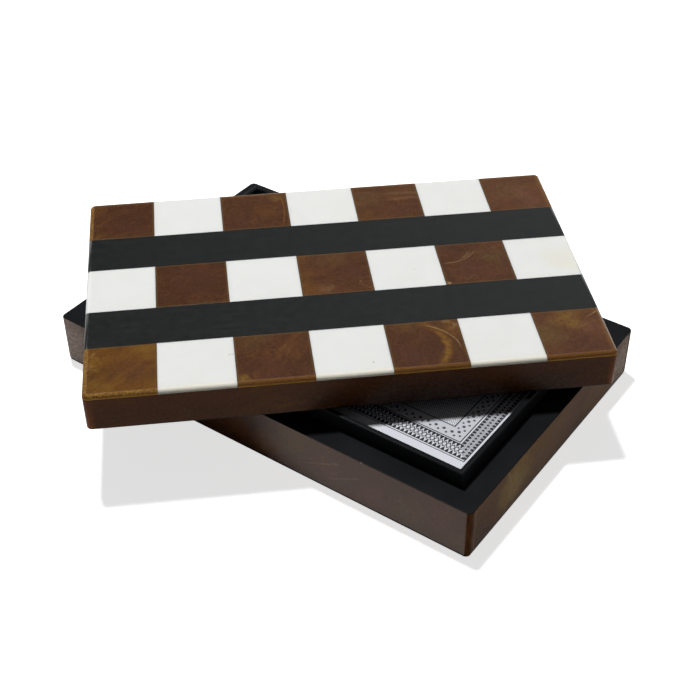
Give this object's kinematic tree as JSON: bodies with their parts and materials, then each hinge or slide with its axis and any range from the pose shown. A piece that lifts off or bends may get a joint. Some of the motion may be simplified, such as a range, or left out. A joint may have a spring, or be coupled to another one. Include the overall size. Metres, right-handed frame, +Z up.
{
  "type": "playing card box",
  "caption": "Box for two decks of playing cards: a clad tray with a divider and a raised liner, and a loose lid with a check inlay, lying turned across it.",
  "frame": {"origin": "centre of the tray's underside", "axes": "+X along the tray's long side, +Y across it, +Z up"},
  "size_m": [0.2074, 0.2033, 0.0402],
  "materials": {
    "black_board": "black lacquer, satin",
    "amber_resin": "marbled amber resin, polished",
    "white_resin": "white resin, polished",
    "black_inlay": "black resin, satin",
    "black_felt": "short black felt",
    "card_stock": "cut edges of playing cards",
    "card_back": "white card with a fine black lattice print, smooth"
  },
  "bodies": {
    "tray": {"foot_felt": "black_felt", "base_board": "black_board", "wall_front": "black_board", "wall_back": "black_board", "wall_left": "black_board", "wall_right": "black_board", "veneer_front": "amber_resin", "veneer_back": "amber_resin", "veneer_left": "amber_resin", "veneer_right": "amber_resin", "liner_front": "black_board", "liner_back": "black_board", "liner_left": "black_board", "liner_right": "black_board", "divider": "black_board", "well_felt_left": "black_felt", "well_felt_right": "black_felt"},
    "lid": {"lid_panel": "black_board", "lid_lining": "black_felt", "lid_rail_front": "black_board", "lid_rail_back": "black_board", "lid_rail_left": "black_board", "lid_rail_right": "black_board", "lid_veneer_front": "amber_resin", "lid_veneer_back": "amber_resin", "lid_veneer_left": "amber_resin", "lid_veneer_right": "amber_resin", "stripe_back": "black_inlay", "stripe_front": "black_inlay", "tile_back_1": "amber_resin", "tile_back_2": "white_resin", "tile_back_3": "amber_resin", "tile_back_4": "white_resin", "tile_back_5": "amber_resin", "tile_back_6": "white_resin", "tile_back_7": "amber_resin", "tile_middle_1": "white_resin", "tile_middle_2": "amber_resin", "tile_middle_3": "white_resin", "tile_middle_4": "amber_resin", "tile_middle_5": "white_resin", "tile_middle_6": "amber_resin", "tile_middle_7": "white_resin", "tile_front_1": "amber_resin", "tile_front_2": "white_resin", "tile_front_3": "amber_resin", "tile_front_4": "white_resin", "tile_front_5": "amber_resin", "tile_front_6": "white_resin", "tile_front_7": "amber_resin"},
    "left_deck": {"deck_left": "card_stock", "top_card_left": "card_back"},
    "right_deck": {"deck_right": "card_stock", "top_card_right": "card_back"}
  },
  "joints": [
    {"name": "lid_lift", "type": "slide", "parent": "tray", "child": "lid", "axis": [0, 0, 1], "range_m": [0, 0.06]},
    {"name": "deck_left_lift", "type": "slide", "parent": "tray", "child": "left_deck", "axis": [0, 0, 1], "range_m": [0, 0.0042]},
    {"name": "deck_right_lift", "type": "slide", "parent": "tray", "child": "right_deck", "axis": [0, 0, 1], "range_m": [0, 0.0042]}
  ]
}
